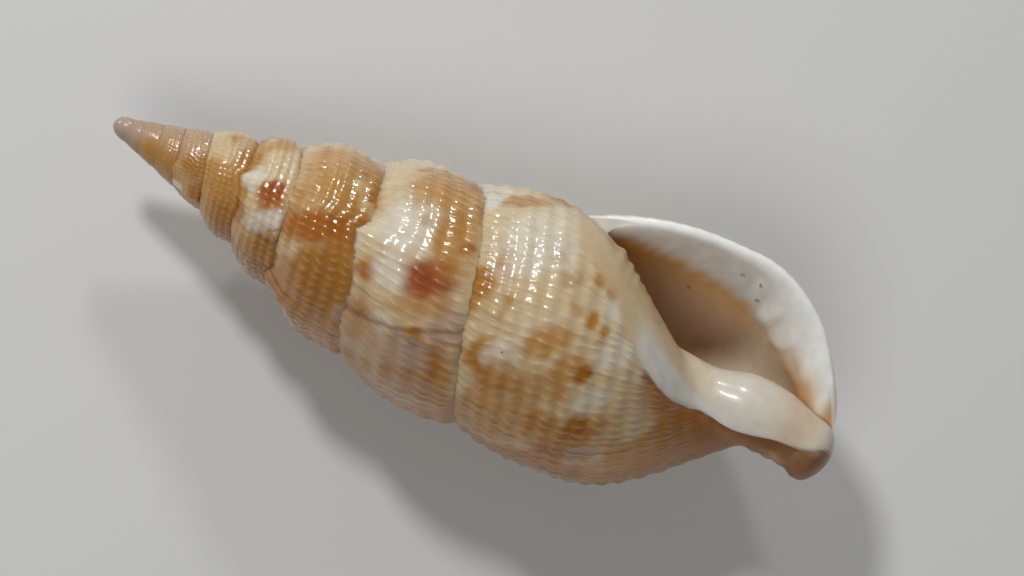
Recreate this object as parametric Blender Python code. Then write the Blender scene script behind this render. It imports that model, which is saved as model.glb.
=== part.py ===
"""Dwarf triton shell, one grown piece that lies with its aperture up. Metres, +Z up.

The surface is laid out on two growth coordinates. A turn counts whorls: APEX_TURN is the apex
and 0 the outer lip. A cord counts the spiral cords of a whorl from its suture towards the canal.
Every point is first a place along the axis, a radius and a turn, and wind() makes it a point.
"""

import math

import bmesh
import bpy
import numpy as np

MM = 0.001
NEAR = 0.008  # turns; no station comes nearer to the end of a resting facet

# Growth, one value at every half turn from the apex, in millimetres.
APEX_TURN = -10.0
SUTURES = (
    (-0.15, 0.08, 0.48, 0.95, 1.60, 2.40, 3.25, 4.00, 4.90, 5.95, 7.05, 8.70)
    + (10.5, 12.0, 14.05, 16.6, 20.4, 23.4, 28.1, 34.15, 36.45, 46.7, 58.9)
)  # place of the suture along the axis; past the lip, where a next whorl would have joined
GIRTHS = (
    (0.75, 1.00, 1.20, 1.42, 1.62, 1.85, 2.10, 2.40, 2.70, 3.13, 3.68, 4.40)
    + (5.00, 5.95, 6.78, 7.97, 8.78, 9.72, 9.85, 10.75, 11.35)
)  # largest radius of the whorl
BOW_STEP = 10.0
BOW = (0.12, -0.25, -0.85, -1.25, -0.45, -0.25, -0.55, -0.65)  # sideways bend, every BOW_STEP
APEX_END = -0.5  # where the rounded apex begins

# Whorl outline. The first whorls have flat sides, and later ones a shoulder.
YOUNG_SHOULDER, SHOULDER, BODY_SHOULDER = 1.0, 0.60, 0.50  # part of the pitch that swells
YOUNG_CURVE, SHOULDER_CURVE = 1.3, 2.0
YOUNG_TURN, YOUNG_TURNS = -7.0, 3.0  # after this turn the shoulder forms, over so many turns
BODY_TURNS = 1.5  # turns before the lip over which the shoulder changes again
SPIRE_BASE, BODY_BASE = 0.82, 0.62  # part after which a whorl draws in
BASE_TURN = -2.0  # the base changes over the turn after this one
BASE_FLOOR = 0.035  # how softly the base runs out into the stem
BASE_LENGTH = 1.20  # length of the base in girths
INNER_BASE, INNER_SPAN = 0.18, 0.45  # what it gains at the inner lip, and over how many turns
SIDE_LENGTH, SIDE_POWER = -0.08, 0.21  # away from the lip it is shorter and fuller
STEM_RADIUS = 2.25
STEM_SHARE = 0.22  # stem radius of a young whorl, in girths
FASCIOLE_AT, FASCIOLE_WIDTH, FASCIOLE_HEIGHT = 60.2, 1.1, 0.55
TIP_ROUND, TIP_END = 60.4, 62.0  # the canal's end rounds off between these
LIP_ROUND = 56.5  # the lip rounds off from here to SLOT_END
SLOT_END = 61.3  # where the canal's slot ends
LIP_ANGLE = math.radians(6)  # the lip's direction round the axis, from +Y towards +Z

# Spiral cords and varices.
SPIRE_CORDS = 6  # cords of a whorl that stay uncovered
LAST_CORD = 22.0  # cords from the last suture to the slot's end
BODY_SUTURE, LIP_SUTURE = SUTURES[-5], SUTURES[-3]  # at turns -1 and 0
SPIRE_SHARE = (LIP_SUTURE - BODY_SUTURE) / (SLOT_END - BODY_SUTURE)  # what stays uncovered
LIP_SPREAD = 0.30  # how much wider the lip's first cords are than its last
CORD_HEIGHT = 0.028  # in girths
CORD_FADE = (13.0, 19.0)  # cords flatten between these
LIP_CORDS, LIP_FADE = 0.25, 0.05  # share of their height left at the lip, and turns to it
COVERED = 0.15  # callus this thick hides them
SEAM_GAP = 0.15  # cords between a whorl's last column and the next suture
VARICES = (
    (-5.61, 0.30), (-4.97, 0.20), (-4.30, 0.20), (-3.70, 0.30), (-3.04, 0.25),
    (-2.50, 0.30), (-1.696, 0.38), (-1.0, 0.30), (0.0, 0.75),
)  # turn and height of each old lip, and of the last
VARIX_RISE, VARIX_DROP = 0.085, 0.014  # turns
CLIMB_START, CLIMB = 0.13, 0.11  # turns before a varix, and shift in girths: the suture climbs

# Callus on the inner lip, every 3 mm from CALLUS_START.
CALLUS_START, CALLUS_STEP = 36.0, 3.0
CALLUS_EDGE = (46, 58, 72, 86, 100, 117, 118, 104, 93, 55)  # degrees past the lip
CALLUS_HEIGHT = (0.10, 0.15, 0.13, 0.28, 0.33, 0.22, 1.05, 1.00, 0.22, 0.0)
THIN_SLOPE, CALLUS_SLOPE = 24.0, 7.0  # degrees over which its edge falls, thin part and thick
THICK_AT, THICK_SPAN = 42.0, 6.0  # where the thick part begins, and how long that takes
CALLUS_DEPTH = 0.30  # turns over which it thins inside the aperture

# Aperture. Parts run from 0 at its rear corner to 1 at the canal.
CORNER_CORD = 7.5  # where the rear corner is, on the turn before the lip
HOLLOW_DEPTH, HOLLOW_END = 0.75, 0.12  # turns that the hollow runs back, and its rounded end
HOLLOW_REACH = 0.85  # part of the base that the hollow reaches
END_SHRINK = 0.85  # how far its last row has drawn together
REAR_ROUND, FRONT_ROUND = 0.07, 0.05  # parts over which its corners round off
ROOM_FLOOR = 0.1  # how softly its room runs out, in millimetres
WALL = 0.75  # wall thickness behind the lip
RIM, RIM_BULGE = 0.45, 0.40  # how thick the lip's rounded edge is, and how far it reaches on
RIM_ENDS = 0.08  # part at either end over which that reach dies out
LABRUM = 1.00  # how much the lip swells inwards, just behind its edge
LABRUM_RISE, LABRUM_FALL = 0.055, 0.14  # turns over which it swells and thins again
LABRUM_SIDE = 0.75  # share that it gains towards the canal
SIDE_AT, SIDE_SPAN = 0.35, 0.40  # part where that gain starts, and how long it takes
STEEPEST = 1.5  # the wall is not thickened for steeper slopes than this
SLOPE_STEP = 0.1  # half the length over which the slope is read
TEETH, TOOTH_HEIGHT = 11, 0.26
TOOTH_RISE, TOOTH_FADE, TOOTH_FALL = 0.03, 0.045, 0.07  # turns

# How it lies: turned about its axis, then about Y, which lifts the canal's end.
REST_ROLL, REST_TILT = 11.58, -5.26  # degrees

# Mesh density.
STATION_STEP = 1.45
FEWEST_STATIONS = 14  # a turn
REST_TURN, REST_SPAN = -0.30, 0.06  # the facets that it lies on are this wide, in turns
SPIRE_COLUMNS = 12
RIM_ROWS = 3
NEAR_DEPTHS = (0.006, 0.022, 0.055, 0.10)  # rows that follow every cord at the lip
FAR_STEP = 0.085  # turns between rows farther in
FAR_OUTER, FAR_INNER = 12, 9  # points across the hollow's outer and inner wall there


def eased(values, place):
    """A smooth curve through evenly spaced values, read at a fractional index."""
    values = np.asarray(values, float)
    place = np.clip(place, 0, len(values) - 1.0001)
    left = np.floor(place).astype(int)
    part = place - left
    slopes = np.gradient(values)
    start, end = values[left], values[left + 1]
    start_slope, end_slope = slopes[left], slopes[left + 1]
    return (
        start * (1 + 2 * part) * (1 - part) ** 2
        + end * (3 - 2 * part) * part**2
        + start_slope * part * (1 - part) ** 2
        - end_slope * part**2 * (1 - part)
    )


def ramp(value):
    """0 below 0, 1 above 1 and a smooth step between."""
    value = np.clip(value, 0, 1)
    return value * value * (3 - 2 * value)


def girth(turn):
    return eased(GIRTHS, (turn - APEX_TURN) * 2)


def suture(turn):
    """Place of the suture along the axis. It climbs before each varix and drops back at it."""
    place = eased(SUTURES, (turn - APEX_TURN) * 2)
    for varix, _ in VARICES[:-1]:
        before = (turn - varix + CLIMB_START) / CLIMB_START
        climb = ramp(before * 8) * (1 - ramp(before))
        place = place - CLIMB * girth(turn) * climb
    return place


def pitch(turn):
    return eased(SUTURES, (turn + 1 - APEX_TURN) * 2) - eased(SUTURES, (turn - APEX_TURN) * 2)


def side(turn):
    """1 on the side away from the lip, 0 on the lip's side."""
    return 0.5 - 0.5 * np.cos(2 * math.pi * turn)


def stem(turn, along):
    """Radius of the canal's stem: a ridge of old canal ends, then the rounded tip."""
    ridge = FASCIOLE_HEIGHT * side(turn) * np.exp(-(((along - FASCIOLE_AT) / FASCIOLE_WIDTH) ** 2))
    radius = np.minimum(STEM_RADIUS, STEM_SHARE * girth(turn)) + ridge
    tip = np.clip((along - TIP_ROUND) / (TIP_END - TIP_ROUND), 0, 1)
    return radius * np.sqrt(1 - tip**2)


def base_start(turn):
    share = SPIRE_BASE + (BODY_BASE - SPIRE_BASE) * ramp(turn - BASE_TURN)
    return eased(SUTURES, (turn - APEX_TURN) * 2) + share * pitch(turn)


def base_length(turn):
    """Length of a whorl's base. It is longer where the inner lip covers it."""
    inner = ramp(1 - abs(turn + 1) / INNER_SPAN)
    return (BASE_LENGTH + INNER_BASE * inner + SIDE_LENGTH * side(turn)) * girth(turn)


def envelope(turn, along):
    """Radius of a whorl with no shoulder: full, then drawn in over its base to the stem."""
    full = girth(turn)
    fall = (along - base_start(turn)) / base_length(turn)
    fall = np.clip(fall, 0, 1.6) ** (1 + SIDE_POWER * side(turn))
    drawn = np.cos(math.pi / 2 * np.minimum(fall, 2))
    drawn = (drawn + np.sqrt(drawn**2 + 4 * BASE_FLOOR**2)) / 2
    core = stem(turn, along)
    lip = np.clip((along - LIP_ROUND) / (SLOT_END - LIP_ROUND), 0, 1)
    return core + (full - core) * drawn * np.sqrt(1 - lip**2)


def varix(turn):
    """Height of the old lips at this turn."""
    height = np.zeros_like(turn)
    for place, top in VARICES:
        rise = ramp((turn - place + VARIX_RISE) / VARIX_RISE)
        drop = 1 - ramp((turn - place) / VARIX_DROP)
        height = np.maximum(height, top * rise * drop)
    return height


def callus(turn, along):
    """Height of the smooth layer on the inner lip, which starts a turn before the outer lip."""
    place = (along - CALLUS_START) / CALLUS_STEP
    past = np.degrees(2 * math.pi * (turn + 1))
    thick = ramp((along - THICK_AT) / THICK_SPAN)
    slope = THIN_SLOPE + (CALLUS_SLOPE - THIN_SLOPE) * thick
    edge = ramp((eased(CALLUS_EDGE, place) - past) / slope) * ramp(place + 0.5)
    inside = 1 - ramp(-(turn + 1) / CALLUS_DEPTH)
    return eased(CALLUS_HEIGHT, place) * edge * inside


def radius(turn, along):
    """Radius of a whorl's smooth surface."""
    seam = envelope(turn - 1, suture(turn))
    grown = ramp((turn - YOUNG_TURN) / YOUNG_TURNS)
    body = ramp((turn + BODY_TURNS) / BODY_TURNS)
    shoulder = YOUNG_SHOULDER + (SHOULDER - YOUNG_SHOULDER) * grown
    shoulder = shoulder + (BODY_SHOULDER - SHOULDER) * body
    swell = np.clip((along - suture(turn)) / (shoulder * pitch(turn)), 0, 1)
    swell = 1 - (1 - swell) ** (YOUNG_CURVE + (SHOULDER_CURVE - YOUNG_CURVE) * grown)
    full = envelope(turn, along)
    share = np.clip((full - stem(turn, along)) / girth(turn), 0, 1)
    return seam + (full + varix(turn) * share - seam) * swell


def column_place(turn, cord):
    """Place along the axis of a cord, at a turn of the spire or of the body whorl."""
    last = np.clip(turn + 1, 0, 1)
    joint = SPIRE_CORDS / LAST_CORD
    spread = (SPIRE_SHARE - joint) / (joint - joint**2)
    spread = spread + (LIP_SPREAD - spread) * last
    part = cord / LAST_CORD
    part = part * (1 + spread - spread * part)
    body = suture(turn) + (SLOT_END - suture(turn)) * part
    spire = suture(turn) + (suture(turn + 1) - suture(turn)) * part / SPIRE_SHARE
    body = np.where(turn < -1 + 1e-9, spire, body)
    tip = (cord - LAST_CORD) * (TIP_END - SLOT_END)
    return np.where(cord > LAST_CORD, SLOT_END + tip, body)


def relief(turn, cord, along):
    """Height of the spiral cords, which die out at the sutures, on the base and under callus."""
    wave = 0.5 - 0.5 * np.cos(2 * math.pi * cord)
    fade = 1 - ramp((cord - CORD_FADE[0]) / (CORD_FADE[1] - CORD_FADE[0]))
    smooth = 1 - ramp(callus(turn, along) / COVERED)
    young = ramp((turn - APEX_TURN - 1) / 2)
    lip = 1 - (1 - LIP_CORDS) * ramp((turn + LIP_FADE) / LIP_FADE)
    return CORD_HEIGHT * girth(turn) * wave * fade * smooth * young * lip


def wind(turn, along, size):
    """Points in millimetres, X from the apex to the canal."""
    angle = LIP_ANGLE + 2 * math.pi * turn
    across = eased(BOW, along / BOW_STEP) + size * np.cos(angle)
    return np.stack(np.broadcast_arrays(along, across, size * np.sin(angle)), axis=-1)


def outside(turn, cord):
    along = column_place(turn, cord)
    size = radius(turn, along) + callus(turn, along) + relief(turn, cord, along)
    return wind(turn, along, size)


def tooth(part):
    """The soft ridges inside the lip, 1 on each crest."""
    crest = (0.5 + 0.5 * np.cos(2 * math.pi * TEETH * part)) ** 1.5
    return crest * np.sqrt(np.clip(np.sin(math.pi * part), 0, 1))


def wall(depth, part, along):
    """Thickness of the outer wall, measured along the radius. The lip swells behind its edge."""
    swelling = LABRUM * (1 + LABRUM_SIDE * ramp((part - SIDE_AT) / SIDE_SPAN))
    rise = np.sqrt(1 - (1 - np.clip(depth / LABRUM_RISE, 0, 1)) ** 2)
    thick = RIM + (WALL - RIM + swelling) * rise
    thick = thick - swelling * ramp((depth - LABRUM_RISE) / LABRUM_FALL)
    change = radius(-depth, along + SLOPE_STEP) - radius(-depth, along - SLOPE_STEP)
    slope = np.clip(change / (2 * SLOPE_STEP), -STEEPEST, STEEPEST)
    return thick * girth(-depth) / girth(0.0) * np.sqrt(1 + slope**2)


def bulge(depth, part, size):
    """Turns that the lip's rounded edge reaches past turn 0. It dies out at the lip's ends."""
    ends = ramp(np.minimum(part, 1 - part) / RIM_ENDS)
    return RIM_BULGE * ends * (1 - ramp(depth / LABRUM_RISE)) / (2 * math.pi * size)


def hollow(depth, part, outer):
    """Places and radii round the hollow, depth turns in, on its outer wall or its inner one."""
    rear = column_place(-1.0, CORNER_CORD) - suture(0.0)
    corner = suture(-depth) + rear * girth(-depth) / girth(0.0)
    end = base_start(-depth) + HOLLOW_REACH * base_length(-depth)
    along = corner + (np.minimum(end, SLOT_END) - corner) * part
    inner = radius(-1 - depth, along) + callus(-1 - depth, along)
    near = ramp(depth / TOOTH_RISE) * (1 - ramp((depth - TOOTH_FADE) / TOOTH_FALL))
    room = radius(-depth, along) - wall(depth, part, along) - inner
    room = room - TOOTH_HEIGHT * tooth(part) * near
    room = (room + np.sqrt(room**2 + ROOM_FLOOR**2)) / 2
    ends = np.clip(np.minimum(part / REAR_ROUND, (1 - part) / FRONT_ROUND), 0, 1)
    return along, inner + room * np.sqrt(1 - (1 - ends) ** 2) * outer


def hollow_ring(lattice, depth, outer_part, inner_part):
    """A closed row of points round the hollow. It shrinks towards the hollow's end."""
    outer = hollow(depth, outer_part, 1.0)
    inner = hollow(depth, inner_part[1:-1][::-1], 0.0)
    turn = np.zeros(outer[1].size + inner[1].size) - depth
    turn[: outer[1].size] += bulge(depth, outer_part, outer[1])
    along, size = np.concatenate([outer, inner], axis=1)
    close = np.clip((depth - HOLLOW_DEPTH + HOLLOW_END) / HOLLOW_END, 0, 1)
    scale = math.sqrt(1 - (END_SHRINK * close) ** 2)
    along = along.mean() + (along - along.mean()) * scale
    size = size.mean() + (size - size.mean()) * scale
    return lattice.add(wind(turn, along, size))


def stations(first, last):
    """Turns from first to last, evenly spaced along the whorl, with each varix on one."""
    turns = [first]
    while turns[-1] < last:
        room = 2 * math.pi * float(girth(np.float64(turns[-1])))
        turns.append(turns[-1] + min(STATION_STEP / room, 1 / FEWEST_STATIONS))
    turns = first + (np.array(turns) - first) * (last - first) / (turns[-1] - first)
    for place, _ in VARICES[:-1]:
        if first < place < last:
            turns[np.argmin(abs(turns - place))] = place
            turns = np.sort(np.append(turns, place + VARIX_DROP))
    for middle in (REST_TURN - 2, REST_TURN - 1, REST_TURN):
        ends = (middle - REST_SPAN / 2, middle + REST_SPAN / 2)
        if first < ends[0] and ends[1] < last:
            turns = turns[(turns < ends[0] - NEAR) | (turns > ends[1] + NEAR)]
            turns = np.sort(np.concatenate([turns, ends]))
    return turns


def strip(rows):
    """Quads between neighbouring rows of equal length."""
    faces = []
    for upper, lower in zip(rows[:-1], rows[1:]):
        for k in range(len(upper) - 1):
            faces.append((upper[k], upper[k + 1], lower[k + 1], lower[k]))
    return faces


def zipped(lower, lower_turns, upper, upper_turns):
    """Triangles between two edges that run the same way with different points."""
    faces = []
    a = b = 0
    while a < len(lower) - 1 or b < len(upper) - 1:
        ended = b == len(upper) - 1
        if ended or (a < len(lower) - 1 and lower_turns[a + 1] < upper_turns[b + 1]):
            faces.append((lower[a], lower[a + 1], upper[b]))
            a += 1
        else:
            faces.append((lower[a], upper[b + 1], upper[b]))
            b += 1
    return faces


class Lattice:
    """Points and faces of the shell, collected grid by grid."""

    def __init__(self):
        self.points = []
        self.faces = []

    def add(self, points):
        """Indices of new points, in the shape of the grid that they came in."""
        points = np.asarray(points, float)
        start = len(self.points)
        self.points.extend(points.reshape(-1, 3))
        return np.arange(start, len(self.points)).reshape(points.shape[:-1])

    def fan(self, ring, centre):
        hub = int(self.add(centre))
        ring = list(ring)
        for one, other in zip(ring, ring[1:] + ring[:1]):
            self.faces.append((one, other, hub))


def shell_lattice():
    lattice = Lattice()
    early = np.concatenate([stations(APEX_TURN, APEX_TURN + 1), stations(APEX_TURN + 1, -1)[1:]])
    late = stations(-1, 0)
    spire_cords = np.linspace(0, SPIRE_CORDS, SPIRE_COLUMNS + 1)
    spire_cords[-1] -= SEAM_GAP
    rim_cords = np.linspace(SPIRE_CORDS, CORNER_CORD, RIM_ROWS + 1)[1:]
    body_cords = np.concatenate([np.arange(8, 14, 0.5), np.linspace(14, LAST_CORD, 7)])
    tip_cords = LAST_CORD + np.array([0.5, 0.9])
    cords = np.concatenate([spire_cords, rim_cords, body_cords, tip_cords])
    corner = SPIRE_COLUMNS + RIM_ROWS
    slot = len(cords) - 1 - len(tip_cords)

    spire = lattice.add(outside(early[:-1, None], spire_cords[None, :]))
    body = lattice.add(outside(late[:-1, None], cords[None, :]))
    lip = lattice.add(outside(late[-1], cords[:slot]))
    lip = np.concatenate([lip, body[0, slot:]])
    spire = np.concatenate([spire, body[:1, : SPIRE_COLUMNS + 1]])
    body = np.concatenate([body, lip[None]])
    lattice.faces += strip(spire) + strip(body)

    first_turn = int(np.argmin(abs(early - APEX_TURN - 1)))
    upper = np.concatenate([spire[first_turn:, 0], body[1:, 0]])
    upper_turns = np.concatenate([early[first_turn:], late[1:]])
    lattice.faces += zipped(spire[:, -1], early + 1, upper, upper_turns)
    apex = np.concatenate([spire[0, ::-1], spire[1 : first_turn + 1, 0]])
    lattice.fan(apex, wind(APEX_TURN, APEX_END, 0.0))
    lattice.fan(body[:-1, -1], wind(0.0, TIP_END, 0.0))
    inner_edge = body[0]
    lattice.faces.append((inner_edge[SPIRE_COLUMNS], inner_edge[SPIRE_COLUMNS + 1], lip[0]))

    places = column_place(0.0, cords[: slot + 1])
    outer_part = (places - places[0]) / (SLOT_END - places[0])
    inner_places = column_place(-1.0, cords[corner : slot + 1])
    inner_part = (inner_places - inner_places[0]) / (SLOT_END - inner_places[0])
    rows = [lip[: slot + 1]]
    edge_place, edge_size = hollow(0.0, outer_part, 1.0)
    lip_size = radius(0.0, places)
    for row in range(1, RIM_ROWS + 1):
        angle = math.pi / 2 * row / RIM_ROWS
        along = edge_place + (places - edge_place) * math.cos(angle)
        size = edge_size + (lip_size - edge_size) * math.cos(angle)
        turn = bulge(0.0, outer_part, edge_size) * math.sin(angle)
        inner = lattice.add(wind(turn, along, size)[1:-1])
        start = inner_edge[SPIRE_COLUMNS + row]
        rows.append(np.concatenate([[start], inner, [inner_edge[slot]]]))
    rim = strip(rows)
    lattice.faces += [face for face in rim if len(set(face)) == 4]
    lattice.faces += [tuple(dict.fromkeys(face)) for face in rim if len(set(face)) == 3]

    near_ring = np.concatenate([rows[-1], inner_edge[corner + 1 : slot][::-1]])
    near_rings = [near_ring]
    for depth in NEAR_DEPTHS:
        near_rings.append(hollow_ring(lattice, depth, outer_part, inner_part))
    far_rings = []
    far_count = round((HOLLOW_DEPTH - NEAR_DEPTHS[-1]) / FAR_STEP)
    far_outer = np.linspace(0, 1, FAR_OUTER + 1)
    far_inner = np.linspace(0, 1, FAR_INNER + 1)
    for depth in np.linspace(NEAR_DEPTHS[-1], HOLLOW_DEPTH, far_count + 1)[1:]:
        far_rings.append(hollow_ring(lattice, depth, far_outer, far_inner))
    for rings in (near_rings, far_rings):
        lattice.faces += strip([np.append(ring, ring[0]) for ring in rings])
    near_places = np.concatenate([outer_part, 2 - inner_part[::-1][1:]])
    far_places = np.concatenate([far_outer, 2 - far_inner[::-1][1:]])
    near_last = np.append(near_rings[-1], near_rings[-1][0])
    far_first = np.append(far_rings[0], far_rings[0][0])
    lattice.faces += zipped(near_last, near_places, far_first, far_places)
    end = np.mean([lattice.points[i] for i in far_rings[-1]], axis=0)
    lattice.fan(far_rings[-1], end)
    return lattice


def shell_material():
    material = bpy.data.materials.new("shell")
    material.use_nodes = True
    shader = material.node_tree.nodes["Principled BSDF"]
    shader.inputs["Base Color"].default_value = (0.62, 0.43, 0.24, 1)
    shader.inputs["Roughness"].default_value = 0.3
    return material


def build_shell(collection):
    lattice = shell_lattice()
    mesh = bpy.data.meshes.new("shell")
    points = [tuple(point * MM) for point in lattice.points]
    mesh.from_pydata(points, [], [tuple(int(i) for i in face) for face in lattice.faces])
    work = bmesh.new()
    work.from_mesh(mesh)
    bmesh.ops.recalc_face_normals(work, faces=work.faces)
    bmesh.ops.triangulate(work, faces=work.faces)
    work.to_mesh(mesh)
    work.free()
    mesh.shade_smooth()
    mesh.materials.append(shell_material())
    shell = bpy.data.objects.new("shell", mesh)
    shell.rotation_euler = (math.radians(REST_ROLL), math.radians(REST_TILT), 0)
    turned = shell.rotation_euler.to_matrix()
    corners = np.array([turned @ vertex.co for vertex in mesh.vertices])
    low, high = corners.min(axis=0), corners.max(axis=0)
    shell.location = (-(low[0] + high[0]) / 2, -(low[1] + high[1]) / 2, -low[2])
    collection.objects.link(shell)
    return shell


def main():
    for old in list(bpy.data.objects):
        bpy.data.objects.remove(old)
    collection = bpy.data.collections.new("dwarf_triton_shell")
    bpy.context.scene.collection.children.link(collection)
    build_shell(collection)


main()
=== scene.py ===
"""Dwarf triton shell: its fine surface, colours, floor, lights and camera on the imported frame.

The surface uses the same growth coordinates as the solid. A turn counts whorls: -10 is the apex
and 0 the outer lip. A cord counts the spiral cords of a whorl from its suture towards the canal,
and ribs count the fine axial riblets from the apex. Lengths are in millimetres until a mesh is
made.
"""

import math

import bmesh
import bpy
import numpy as np
from mathutils import Matrix, Vector

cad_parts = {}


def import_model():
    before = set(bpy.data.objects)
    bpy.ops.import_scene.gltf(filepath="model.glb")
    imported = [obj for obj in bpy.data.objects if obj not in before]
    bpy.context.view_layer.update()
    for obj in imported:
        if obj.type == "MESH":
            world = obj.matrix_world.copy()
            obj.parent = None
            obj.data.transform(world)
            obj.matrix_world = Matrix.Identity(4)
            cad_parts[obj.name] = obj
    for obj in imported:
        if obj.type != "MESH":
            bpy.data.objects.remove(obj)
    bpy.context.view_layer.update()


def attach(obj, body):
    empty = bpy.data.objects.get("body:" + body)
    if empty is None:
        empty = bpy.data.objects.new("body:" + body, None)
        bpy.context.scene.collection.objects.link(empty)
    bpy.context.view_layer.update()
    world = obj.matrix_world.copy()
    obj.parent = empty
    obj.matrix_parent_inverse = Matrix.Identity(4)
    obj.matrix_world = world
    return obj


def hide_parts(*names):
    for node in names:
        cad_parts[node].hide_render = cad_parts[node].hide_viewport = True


MM = 0.001

# Growth, one value at every half turn from the apex.
APEX_TURN = -10.0
SUTURES = (
    (-0.15, 0.08, 0.48, 0.95, 1.60, 2.40, 3.25, 4.00, 4.90, 5.95, 7.05, 8.70)
    + (10.5, 12.0, 14.05, 16.6, 20.4, 23.4, 28.1, 34.15, 36.45, 46.7, 58.9)
)  # place of the suture along the axis; past the lip, where a next whorl would have joined
GIRTHS = (
    (0.75, 1.00, 1.20, 1.42, 1.62, 1.85, 2.10, 2.40, 2.70, 3.13, 3.68, 4.40)
    + (5.00, 5.95, 6.78, 7.97, 8.78, 9.72, 9.85, 10.75, 11.35)
)  # largest radius of the whorl
BOW_STEP = 10.0
BOW = (0.12, -0.25, -0.85, -1.25, -0.45, -0.25, -0.55, -0.65)  # sideways bend, every BOW_STEP
APEX_AT, APEX_LENGTH, APEX_RADIUS = 0.90, 1.40, 0.97  # the dome on the first whorl

# Whorl outline. The first whorls have flat sides, and later ones a shoulder.
YOUNG_SHOULDER, SHOULDER, BODY_SHOULDER = 1.0, 0.60, 0.50  # part of the pitch that swells
YOUNG_CURVE, SHOULDER_CURVE = 1.3, 2.0
YOUNG_TURN, YOUNG_TURNS = -7.0, 3.0  # after this turn the shoulder forms, over so many turns
BODY_TURNS = 1.5  # turns before the lip over which the shoulder changes again
SPIRE_BASE, BODY_BASE = 0.82, 0.62  # part after which a whorl draws in
BASE_TURN = -2.0  # the base changes over the turn after this one
BASE_FLOOR = 0.035  # how softly the base runs out into the stem
BASE_LENGTH = 1.20  # length of the base in girths
INNER_BASE, INNER_SPAN = 0.18, 0.45  # what it gains at the inner lip, and over how many turns
SIDE_LENGTH, SIDE_POWER = -0.08, 0.21  # away from the lip it is shorter and fuller
STEM_RADIUS = 2.25
STEM_SHARE = 0.22  # stem radius of a young whorl, in girths
FASCIOLE_AT, FASCIOLE_WIDTH, FASCIOLE_HEIGHT = 60.2, 1.1, 0.55
TIP_ROUND, TIP_END = 60.4, 62.0  # the canal's end rounds off between these
LIP_ROUND = 56.5  # the lip rounds off from here to SLOT_END
SLOT_END = 61.3  # where the canal's slot ends
LIP_ANGLE = math.radians(6)  # the lip's direction round the axis, from +Y towards +Z

# Varices and the suture's course.
VARICES = (
    (-5.61, 0.30), (-4.97, 0.20), (-4.30, 0.20), (-3.70, 0.30), (-3.04, 0.25),
    (-2.50, 0.30), (-1.696, 0.38), (-1.0, 0.30), (0.0, 0.75),
)  # turn and height of each old lip, and of the last
VARIX_RISE, VARIX_DROP = 0.085, 0.010  # turns
CLIMB_START, CLIMB = 0.13, 0.11  # turns before a varix, and shift in girths: the suture climbs
CLIMB_SPEED = 3.5  # how much faster it climbs than it sinks back
SUTURE_WANDER = 0.16
SHORT_WANDER, LONG_WANDER = 0.75, 2.6  # lengths over which it wanders
STEADY_LIP, STEADY_BEFORE = -0.06, -0.16  # turns between which it stops wandering
FULL_GIRTH = 8.0  # relief and wander are full from this girth, and less on younger whorls

# Spiral cords, axial riblets, threads between them and growth lines.
SPIRE_CORDS = 6  # cords of a whorl that stay uncovered
LAST_CORD = 22.0  # cords from the last suture to the slot's end
BODY_SUTURE, LIP_SUTURE = SUTURES[-5], SUTURES[-3]  # at turns -1 and 0
SPIRE_SHARE = (LIP_SUTURE - BODY_SUTURE) / (SLOT_END - BODY_SUTURE)  # what stays uncovered
LIP_SPREAD = 0.30  # how much wider the lip's first cords are than its last
CORD_HEIGHT, RIB_HEIGHT, THREAD_HEIGHT, LINE_HEIGHT = 0.100, 0.067, 0.012, 0.014
CORD_FADE, CORD_LEFT = (12.0, 18.0), 0.95  # cords lower between these, to this share
CORD_END = (20.5, 22.0)  # and die out between these
BEAD_FADE = (9.0, 17.0)  # riblets die out between these
RIBS = (26, 34, 42, 48, 54, 58, 62, 68, 74, 78, 78)  # riblets a turn, at every turn
RIB_WIDTH, THREAD_WIDTH = 0.18, 0.14
RIB_VALLEY = 0.30  # share of a riblet's height left between cords
RIB_WANDER, RIB_JITTER = 0.9, 0.50  # riblets; how far one strays, slowly and quickly
RIB_LEAST, RIB_SPAN = 0.3, 1.4  # least share of a riblet's height, and how far noise adds to it
THREAD_PATCHES = (0.45, 0.65)  # noise between which threads come in
SMOOTH_TURN, SMOOTH_TURNS = -8.5, 2.0  # relief starts here and is full so many turns later
OLDER_TURN, OLDER_TURNS = -6.5, 3.5  # cords grow stronger than riblets over these
YOUNG_CORD, YOUNG_RIB = 0.3, 1.6  # heights before that, in shares
RELIEF_POWER, RELIEF_MOST = 0.6, 1.1  # how relief grows with girth
COVERED, COVERED_LEFT = 0.13, 0.1  # callus this thick leaves this share of the relief
LIP_SMOOTH, LIP_LEFT = 0.05, 0.2  # turns before the lip, and share left at it
OLD_LIP = 0.05  # turns before a varix with strong growth lines
WRINKLES = ((-1.98, 0.035), (-0.985, 0.035))  # more of them: turn, reach

# Callus on the inner lip, every 3 mm from CALLUS_START.
CALLUS_START, CALLUS_STEP = 36.0, 3.0
CALLUS_EDGE = (46, 58, 72, 86, 100, 117, 118, 104, 93, 55)  # degrees past the lip
CALLUS_HEIGHT = (0.10, 0.15, 0.13, 0.28, 0.33, 0.22, 1.05, 1.00, 0.22, 0.0)
THIN_SLOPE, CALLUS_SLOPE = 24.0, 7.0  # degrees over which its edge falls, thin part and thick
THICK_AT, THICK_SPAN = 42.0, 6.0  # where the thick part begins, and how long that takes
CALLUS_DEPTH = 0.30  # turns over which it thins inside the aperture
EDGE_WANDER, EDGE_WAVE = 3.0, 2.1  # degrees, and length over which the edge wanders
NODULES = (
    (40.5, 0.50, 0.42), (41.5, 0.28, 0.34), (42.25, 0.26, 0.32), (43.0, 0.26, 0.22),
    (43.8, 0.26, 0.15),
)  # knobs on the inner lip: place along the axis, reach, height
NODULE_SPAN = 26.0  # degrees that they reach over the inner lip

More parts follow.
